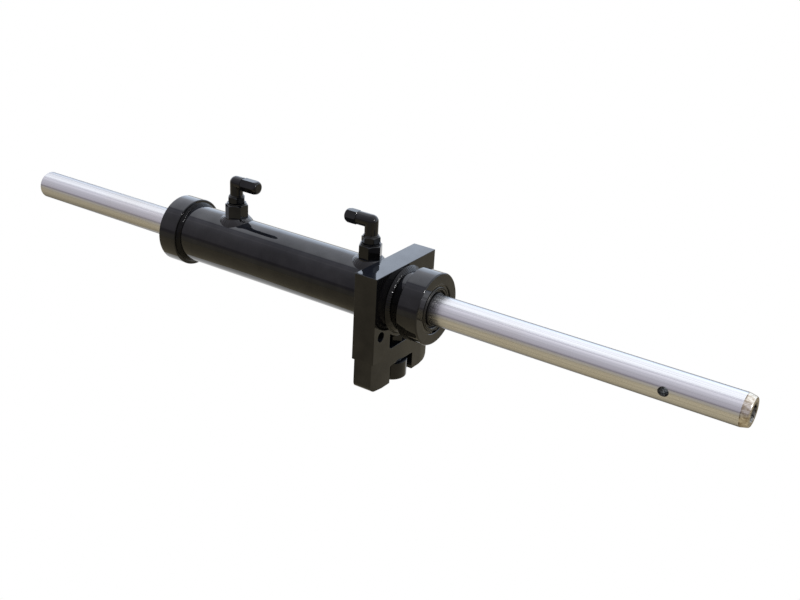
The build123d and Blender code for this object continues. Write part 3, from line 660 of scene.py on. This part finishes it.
# A wedge off each front corner of the foot.
slope_start, slope_end = foot_half - 21.5, foot_half + 4.3
slope_depth, proud = 4.2, 2
for hand in (-1, 1):
    wedge = bmesh.new()
    ends = []
    for height in (foot_bottom - 5, shoulder):
        corners = ((0, slope_start), (proud, slope_start), (proud, slope_end), (-slope_depth, slope_end))
        ends.append([wedge.verts.new(Vector((x, hand * y, axis_height + height)) * 0.001)
                     for x, y in corners])
    lower, upper_end = ends
    wedge.faces.new(lower)
    wedge.faces.new(upper_end[::-1])
    for corner in range(4):
        after = (corner + 1) % 4
        wedge.faces.new((lower[corner], lower[after], upper_end[after], upper_end[corner]))
    cut_away(bracket, wedge)

# A block off the foot's rear, up to the shoulder.
block_x, block_y, block_z = 0.006, 0.16, 0.06
setback = bmesh.new()
bmesh.ops.create_cube(setback, size=1.0)
bmesh.ops.scale(setback, vec=(block_x, block_y, block_z), verts=setback.verts)
bmesh.ops.translate(setback, verts=setback.verts, vec=(
    -0.001 * foot_thickness - block_x / 2, 0, 0.001 * (axis_height + shoulder) - block_z / 2))
cut_away(bracket, setback)


def about_pin(height, radius, angle):
    """Place in millimetres on a piece turned about the pin's upright axis."""
    return -foot_thickness / 2 + radius * cos(angle), radius * sin(angle), axis_height + height


pin_hole = [(-90, 0), (-90, 8.5), (-55, 8.5), (-55, 0)]
cut_away(bracket, spun(pin_hole, about_pin, 48, closed=False))

# The cuts leave doubled points and needless edges, which would spoil the broken edges.
clean_skin = bmesh.new()
clean_skin.from_mesh(bracket.data)
bmesh.ops.remove_doubles(clean_skin, verts=clean_skin.verts, dist=1e-6)
bmesh.ops.dissolve_limit(clean_skin, angle_limit=radians(0.5), verts=clean_skin.verts,
                         edges=clean_skin.edges)
for face in clean_skin.faces:
    face.smooth = True
clean_skin.to_mesh(bracket.data)
clean_skin.free()
edge_break = bracket.modifiers.new("edge_break", "BEVEL")
edge_break.width = 0.0009
edge_break.segments = 3
edge_break.limit_method = "ANGLE"
edge_break.angle_limit = radians(40)
bracket.modifiers.move(len(bracket.modifiers) - 1, 0)
bracket.data.set_sharp_from_angle(angle=radians(40))


# Locating pin: a turned steel plug under the cross-bar that drops into the axle.
# A hexagon bolt from the window above holds it.
def on_flat(out, along, middle):
    """Place on a hexagon's side that faces the angle middle, at that distance out and along it."""
    return Vector((out * cos(middle) - along * sin(middle), out * sin(middle) + along * cos(middle)))


def hexagon_bar(flats, length, place, bore=0.0, turn=0.0, bevel=1.6, both=False, rounding=0.5):
    """A hexagon bar whose corners are turned down at its far end, or at both ends."""
    corner = flats / 2 / cos(pi / 6)
    flat_radius = flats / 2 - bevel / 2
    slope = (bevel / 2) / (corner - flat_radius)
    side_half = flats / 2 * tan(pi / 6) - rounding
    side_shares = (-1, -0.6, -0.2, 0.2, 0.6, 1)
    per_side = len(side_shares)
    places = []
    for side_index in range(6):
        middle = pi / 3 * (side_index + 0.5) + turn
        places += [on_flat(flats / 2, side_half * share, middle) for share in side_shares]
    smooth_rim = []
    for index, here in enumerate(places):
        smooth_rim.append(here)
        if index % per_side == per_side - 1:
            after = places[(index + 1) % len(places)]
            tip_angle = pi / 3 * (index // per_side + 1) + turn
            tip = Vector((corner * cos(tip_angle), corner * sin(tip_angle)))
            for t in (0.33, 0.67):
                smooth_rim.append(here * (1 - t) ** 2 + tip * 2 * t * (1 - t) + after * t * t)
    rows = []
    for spot in smooth_rim:
        reach = spot.length
        angle = atan2(spot.y, spot.x)
        drop = max(0.0, reach - flat_radius) * slope * 2.0
        halfway = (flat_radius + reach) / 2
        if both:
            column = [(0.0, flat_radius), (drop * 0.5, halfway), (drop + 0.15, reach)]
        else:
            column = [(0.0, reach - 0.25), (0.25, reach)]
        column += [(length - drop - 0.15, reach), (length - drop * 0.5, halfway + 0.05),
                   (length, flat_radius)]
        if bore:
            column += [(length, bore + 0.4), (length - 0.4, bore), (0.4, bore), (0.0, bore + 0.4)]
        else:
            column = [(0.0, 0.0)] + column + [(length, 0.0)]
        rows.append([place(along, radius, angle) for along, radius in column])
    return grid_piece(rows, close_columns=bool(bore))


pin_paint = black_paint("pin_paint", marks=(0.04, 0.04, 1), mark_depth=0.000005)
pin_bottom, pin_top, pin_radius = -112, -88, 20.0
spigot_top, spigot_radius = -86, 13
bolt_well, well_bottom = 8.05, -103.3
pin_outline = eased([
    (pin_bottom, 0), (pin_bottom, pin_radius - 1.5, 0.4), (pin_bottom + 1.5, pin_radius, 0.5),
    (pin_top, pin_radius), (pin_top, spigot_radius), (spigot_top, spigot_radius, 0),
    (spigot_top, bolt_well, 0), (well_bottom, bolt_well, 0), (well_bottom, 0),
], 0.5, closed=False)
make_piece("pin_plug", spun(pin_outline, about_pin, 128, closed=False), pin_paint,
           "gloss_black_paint", "cylinder", "locating_pin")
bolt_black = black_paint("bolt_paint", dust=0.2, gloss=1.40)
bolt_flats, bolt_head, shank_radius = 24.0, 10.0, 8.0
bolt_skin = hexagon_bar(
    bolt_flats, bolt_head, lambda along, radius, angle: about_pin(window_bottom + along, radius, angle))
shank = spun([
    (-103, 0), (-103, shank_radius - 0.6), (-102.2, shank_radius), (window_bottom, shank_radius),
    (window_bottom, 0),
], about_pin, 48, closed=False)
shank_mesh = bpy.data.meshes.new("shank")
shank.to_mesh(shank_mesh)
shank.free()
bolt_skin.from_mesh(shank_mesh)
bpy.data.meshes.remove(shank_mesh)
make_piece("pin_holding_bolt", bolt_skin, bolt_black, "gloss_black_paint", "cylinder", "pin_bolt")


# Ports: on each a boss welded to the barrel, a hexagon adapter and an elbow with washer, lock nut
# and blanking cap. The fittings are forged or turned steel, blackened and then painted over.
port_paint = black_paint("port_boss_paint")
fitting_black = black_paint("fitting_black", peel=1.4, shade=0.003, dust=0.4, gloss=1.40)
fitting_black.relief(fitting_black.patches(900.0, detail=4.0, rough=0.6), 0.00002)
forged_black = black_paint("forged_black", peel=1.6, shade=0.004, dust=0.2, gloss=1.42)
forged_black.relief(forged_black.patches(500.0, detail=5.0, rough=0.65), 0.00004)
boss_radius, boss_top = 17.0, 43.5
adapter_flats, adapter_top, port_bore = 28.0, 62.0, 8.05
nut_flats, nut_bottom, nut_top = 22.0, 63.5, 73.0
elbow_radius, outlet_height = 9.0, 92.0
cap_flats, cap_tip, dome_length = 17.0, 5.0, 6.5
port_places = {"left": (-284.0, -1), "right": (-57.0, 1)}
adapter_turns = {"left": 29.0, "right": 55.0}
nut_turns = {"left": 8.0, "right": 23.0}
reaches = {"left": 12.5, "right": 20.0}
cap_lengths = {"left": 27.0, "right": 19.0}
for side, (port_x, outwards) in port_places.items():
    def about_port(height, radius, angle):
        """Place on a piece turned about the port's upright axis, at a height over the cylinder's."""
        return port_x + radius * cos(angle), radius * sin(angle), axis_height + height

    def about_outlet(along, radius, angle):
        """Place on a piece turned about the elbow's outlet, which points at the other port."""
        height = outlet_height + radius * sin(angle)
        return port_x - outwards * along, radius * cos(angle), axis_height + height

    cover(f"port_boss_{side}", port_paint)

    # The bead lies in the saddle between boss and barrel, from the boss's rim down to the barrel.
    # The right one is cut short beside the bracket's rear bead.
    rows = []
    bead_steps, across, leg = 264, 12, 5.9
    bead_radius, bead_pitch, bead_end = 19.0, 3.7, 19.7
    for step in range(bead_steps):
        angle = 2 * pi * step / bead_steps
        drift = noise.noise(Vector((cos(angle) * 3, sin(angle) * 3, port_x)))
        inner_x, inner_y = boss_radius * cos(angle), boss_radius * sin(angle)
        foot_z = sqrt(barrel_radius ** 2 - inner_y ** 2)
        top_z = min(foot_z + leg, boss_top - 0.15)
        reach = boss_radius + leg * (1 + 0.05 * drift)
        if outwards > 0 and reach * cos(angle) > bead_end:
            reach = bead_end / cos(angle)
        outer_y = reach * sin(angle)
        outer_z = sqrt(barrel_radius ** 2 - outer_y ** 2)
        corner = Vector((inner_x, inner_y, foot_z))
        high = Vector((inner_x, inner_y, top_z))
        low = Vector((reach * cos(angle), outer_y, outer_z))
        out = Vector((cos(angle), sin(angle), 0.75)).normalized()
        row = [high, corner, low]
        for column in range(1, across):
            t = column / across
            bow = sin(pi * t)
            phase = ((angle * bead_radius + 1.6 * bow + 0.6 * drift) / bead_pitch) % 1.0
            coin = sqrt(max(0.0, 1 - phase ** 2))
            lift = (0.35 + 0.3 * drift) * bow + 0.32 * (coin - 0.6) * bow ** 0.6
            spot = low.lerp(high, t) + out * lift
            height = sqrt(max(1.0, barrel_radius ** 2 - spot.y ** 2))
            spot.z = min(max(spot.z, height + 0.01), boss_top - 0.1)
            row.append(spot)
        rows.append([(port_x + spot[0], spot[1], axis_height + spot[2]) for spot in row])
    make_piece(f"port_bead_{side}", grid_piece(rows), weld_paint, "painted_weld", "cylinder",
               f"port_weld_{side}", smooth=60)

    make_piece(f"adapter_hexagon_{side}", hexagon_bar(
        adapter_flats, adapter_top - boss_top,
        lambda along, radius, angle: about_port(boss_top + along, radius, angle),
        bore=port_bore, turn=radians(adapter_turns[side]), bevel=2.0),
        fitting_black, "black_fitting", "cylinder", f"adapter_{side}")
    washer_bottom, washer_top = adapter_top + 0.02, nut_bottom - 0.02
    make_piece(f"sealing_washer_{side}", spun(eased([
        (washer_bottom, 8.1), (washer_bottom, 13.3), (washer_top, 13.3), (washer_top, 8.1),
    ], 0.4), about_port, 96), fitting_black, "black_fitting", "cylinder", f"elbow_washer_{side}")
    make_piece(f"lock_nut_{side}", hexagon_bar(
        nut_flats, nut_top - nut_bottom,
        lambda along, radius, angle: about_port(nut_bottom + along, radius, angle),
        bore=port_bore, turn=radians(nut_turns[side]), bevel=1.8, both=True),
        fitting_black, "black_fitting", "cylinder", f"elbow_nut_{side}")

    # The elbow's upright and outlet meet in a ball-shaped corner, sharp only inside the bend.
    reach = reaches[side]
    bend_steps, around = 10, 64
    oil_way, root, lip, nipple = 3.5, 7.98, 10.15, 6.97
    rows = []
    for step in range(around):
        angle = 2 * pi * step / around
        back, across = cos(angle) * elbow_radius, sin(angle) * elbow_radius
        column = [(oil_way, 50.0), (7.4, 50.0), (root, 50.8), (root, nut_top + 0.02),
                  (lip, nut_top + 0.02), (lip, nut_top + 0.9), (9.7, nut_top + 1.3),
                  (elbow_radius, nut_top + 1.6)]
        places = [(port_x + outwards * radius * cos(angle), radius * sin(angle), axis_height + height)
                  for radius, height in column]
        inner = back < 0
        meet = outlet_height + (back if inner else 0.0)
        for bend in range(bend_steps + 1):
            tilt = pi / 2 * bend / bend_steps
            if inner:
                soft = 1.2 * (1 - abs(2 * bend / bend_steps - 1)) * (-back / elbow_radius)
                places.append((port_x + outwards * (back - soft * 0.35), across,
                               axis_height + meet - soft * 0.35))
            else:
                places.append((port_x + outwards * back * cos(tilt), across,
                               axis_height + outlet_height + back * sin(tilt)))
        for along, radius in ((reach - 0.4, elbow_radius), (reach, 8.6), (reach, nipple),
                              (reach + 11.2, nipple), (reach + 12, 6.4), (reach + 12, oil_way),
                              (elbow_radius, oil_way)):
            places.append((port_x - outwards * along, radius * sin(angle),
                           axis_height + outlet_height + radius * cos(angle)))
        places.append((port_x + outwards * oil_way * cos(angle), oil_way * sin(angle),
                       axis_height + outlet_height - elbow_radius))
        rows.append(places)
    make_piece(f"elbow_body_{side}", grid_piece(rows), forged_black, "black_fitting", "cylinder",
               f"elbow_{side}", smooth=38)

    # Blanking cap: hexagon bar with a domed, closed end and a bored inside.
    length, flat = cap_lengths[side], cap_flats / 2
    corner = flat / cos(pi / 6)
    dome_start, bore_end = length - dome_length, length - 10.2
    dome_steps = 9
    rows = []
    for side_index in range(6):
        middle = pi / 3 * (side_index + 0.5)
        for share_along in (-0.97, -0.6, -0.2, 0.2, 0.6, 0.97):
            spot = on_flat(flat, flat * tan(pi / 6) * share_along, middle)
            rim, angle = spot.length, atan2(spot.y, spot.x)
            column = [(0.0, 7.45), (0.0, flat - 0.7), (0.55, min(rim, flat + 0.1)), (1.3, rim)]
            for step in range(dome_steps + 1):
                quarter = pi / 2 * (step / dome_steps)
                profile = cap_tip + (corner - cap_tip) * cos(quarter) ** 0.8
                rise = dome_length * sin(quarter)
                if profile < rim:
                    column.append((dome_start + rise, profile))
                else:
                    column.append((dome_start + rise * 0.999, rim))
            column += [(length, cap_tip - 0.6), (length, 0.0), (length - 9.0, 0.0), (bore_end, 0.0),
                       (bore_end, 7.0), (12.3, 7.05), (1.0, 7.05)]
            rows.append([about_outlet(reach + along, radius, angle) for along, radius in column])
    make_piece(f"blanking_cap_{side}", grid_piece(rows), fitting_black, "black_fitting", "cylinder",
               f"port_cap_{side}", smooth=28)


# Gland faces: the iron gland, the spring ring that keeps it in and the rubber wiper round the rod.
# The spring ring lies in the collar's groove with its gap at the bottom and two holes for pliers.
gland_iron = Finish("gland_iron", Metallic=0.85, IOR=1.9)
turned_rings = gland_iron.patches(500.0, stretch=(1, 0.35, 0.35), detail=3.0)
iron_patches = gland_iron.patches(60.0, detail=5.0)
gland_iron.colour(gland_iron.mix(iron_patches, (0.028, 0.027, 0.025), (0.062, 0.060, 0.054)))
gland_iron.roughness(gland_iron.ramp(turned_rings, 0.3, 0.7, 0.22, 0.42))
gland_iron.relief(turned_rings, 0.00003)
spring_steel = Finish("spring_steel", Metallic=0.9, IOR=2.0)
oil_film = spring_steel.patches(45.0, detail=5.0)
spring_steel.colour(spring_steel.mix(oil_film, (0.035, 0.034, 0.032), (0.085, 0.082, 0.074)))
spring_steel.roughness(spring_steel.ramp(oil_film, 0.3, 0.7, 0.16, 0.34))
spring_steel.relief(spring_steel.patches(1200.0, detail=3.0), 0.00001)
rubber = Finish("seal_rubber", IOR=1.36)
bloom = rubber.patches(120.0, detail=5.0, rough=0.6)
rubber.colour(rubber.mix(bloom, (0.0045, 0.0045, 0.005), (0.010, 0.0095, 0.009)))
rubber.roughness(rubber.ramp(bloom, 0.3, 0.7, 0.32, 0.5))
rubber.relief(rubber.patches(1500.0, detail=3.0), 0.000012)
# Depths behind the collar's face and radii: the nose with its turned ring, the seat of the spring
# ring, the outside with the o-ring's groove, then back along the bore through the grooves of the
# two guide rings, the rod seal and the wiper.
gland_radius, gland_bore, gland_length = 32.45, 20.35, 111.7
guide_groove, seal_groove, wiper_groove, oring_groove = 22.5, 25.0, 24.65, 29.0
gland_outline = eased([
    (0.4, 25.5), (0.4, 26.8), (1.3, 27.1), (1.3, 27.7), (0.4, 28.0), (0.4, 28.6), (1.0, 29.2),
    (groove_end, 29.2), (groove_end, gland_radius),
    (46.0, gland_radius), (46.0, oring_groove), (49.5, oring_groove), (49.5, gland_radius),
    (96.0, gland_radius), (96.0, 28.0), (gland_length, 28.0), (gland_length, gland_bore),
    (106.7, gland_bore), (106.7, guide_groove), (92.7, guide_groove), (92.7, gland_bore),
    (42.0, gland_bore), (42.0, guide_groove), (28.0, guide_groove), (28.0, gland_bore),
    (22.0, gland_bore), (22.0, seal_groove), (14.0, seal_groove), (14.0, gland_bore),
    (6.4, gland_bore), (6.4, wiper_groove), (1.4, wiper_groove),
], 0.18, steps=2)
ring_inside, ring_middle, ring_outside, ring_gap = 29.3, 31.5, 34.25, 4.5
plier_radius, plier_hole = 31.8, 1.25
for side, (face, inwards) in collar_faces.items():
    placed = behind_face(side)
    make_piece(f"turned_gland_{side}", spun(gland_outline, placed, 144),
               gland_iron, "gland_iron", "cylinder", f"gland_{side}")

    ring_rows = []
    opening = asin(ring_gap / ring_middle)
    ring_steps = 150
    section = eased([
        (1.62, ring_inside), (1.62, ring_outside), (4.08, ring_outside), (4.08, ring_inside)], 0.6)
    for step in range(ring_steps + 1):
        angle = -pi / 2 + opening + (2 * pi - 2 * opening) * step / ring_steps
        ring_rows.append([placed(depth, radius, angle) for depth, radius in section])
    ring_skin = grid_piece(ring_rows, close_rows=False)
    for row in (ring_rows[0], ring_rows[-1]):
        ring_skin.faces.new([ring_skin.verts.new(Vector(place) * 0.001) for place in row])
    spring_ring = make_piece(f"spring_ring_{side}", ring_skin, spring_steel, "spring_steel", "cylinder",
                             f"retaining_ring_{side}")
    for hand in (-1, 1):
        lug_angle = -pi / 2 + hand * (ring_gap + 3.75) / ring_inside
        lug_y = plier_radius * cos(lug_angle)
        lug_z = axis_height + plier_radius * sin(lug_angle)
        cut_away(spring_ring, spun(
            [(-2, 0), (-2, 1.45), (1.75, 1.35), (1.95, plier_hole), (8, plier_hole), (8, 0)],
            lambda along, radius, angle: (
                face + inwards * along, -lug_y + radius * cos(angle), lug_z + radius * sin(angle)),
            24, closed=False))

    wiper_outline = eased([
        (-0.8, 20.12), (-0.8, 20.8), (0.3, 21.7), (3.6, 22.0), (3.6, 24.5), (6.35, 24.5),
        (6.35, 20.4), (1.6, 20.4), (1.2, 20.1),
    ], 0.25)
    make_piece(f"wiper_ring_{side}", spun(wiper_outline, placed, 144),
               rubber, "seal_rubber", "cylinder", f"wiper_{side}")


# Inside pieces: seals, guide rings, piston and lock rings, hidden in the closed cylinder.
# Rubber and polyurethane seals, woven-fabric guide rings, a turned steel piston.
guide_fabric = Finish("guide_ring_resin", IOR=1.5)
weave = guide_fabric.patches(900.0, detail=2.0)
guide_fabric.colour(guide_fabric.mix(weave, (0.20, 0.085, 0.03), (0.33, 0.16, 0.07)))
guide_fabric.roughness(guide_fabric.ramp(weave, 0.3, 0.7, 0.45, 0.7))
guide_fabric.relief(weave, 0.00003)
piston_steel = Finish("piston_steel", Metallic=1.0)
lathe_marks = piston_steel.patches(800.0, stretch=(1, 0.05, 0.05), detail=3.0)
piston_steel.colour(piston_steel.mix(lathe_marks, (0.32, 0.32, 0.33), (0.5, 0.5, 0.5)))
piston_steel.roughness(piston_steel.ramp(lathe_marks, 0.3, 0.7, 0.2, 0.38))
piston_steel.relief(lathe_marks, 0.00001)
cover("piston", piston_steel)
cover("piston_seal", rubber)
cover("piston_oring", rubber)
for side in ("left", "right"):
    for seal in ("gland_oring", "rod_seal", "port_oring"):
        cover(f"{seal}_{side}", rubber)
    for guide in ("piston_wear_ring", "guide_ring_outer", "guide_ring_inner"):
        cover(f"{guide}_{side}", guide_fabric)
    cover(f"lock_ring_{side}", spring_steel)
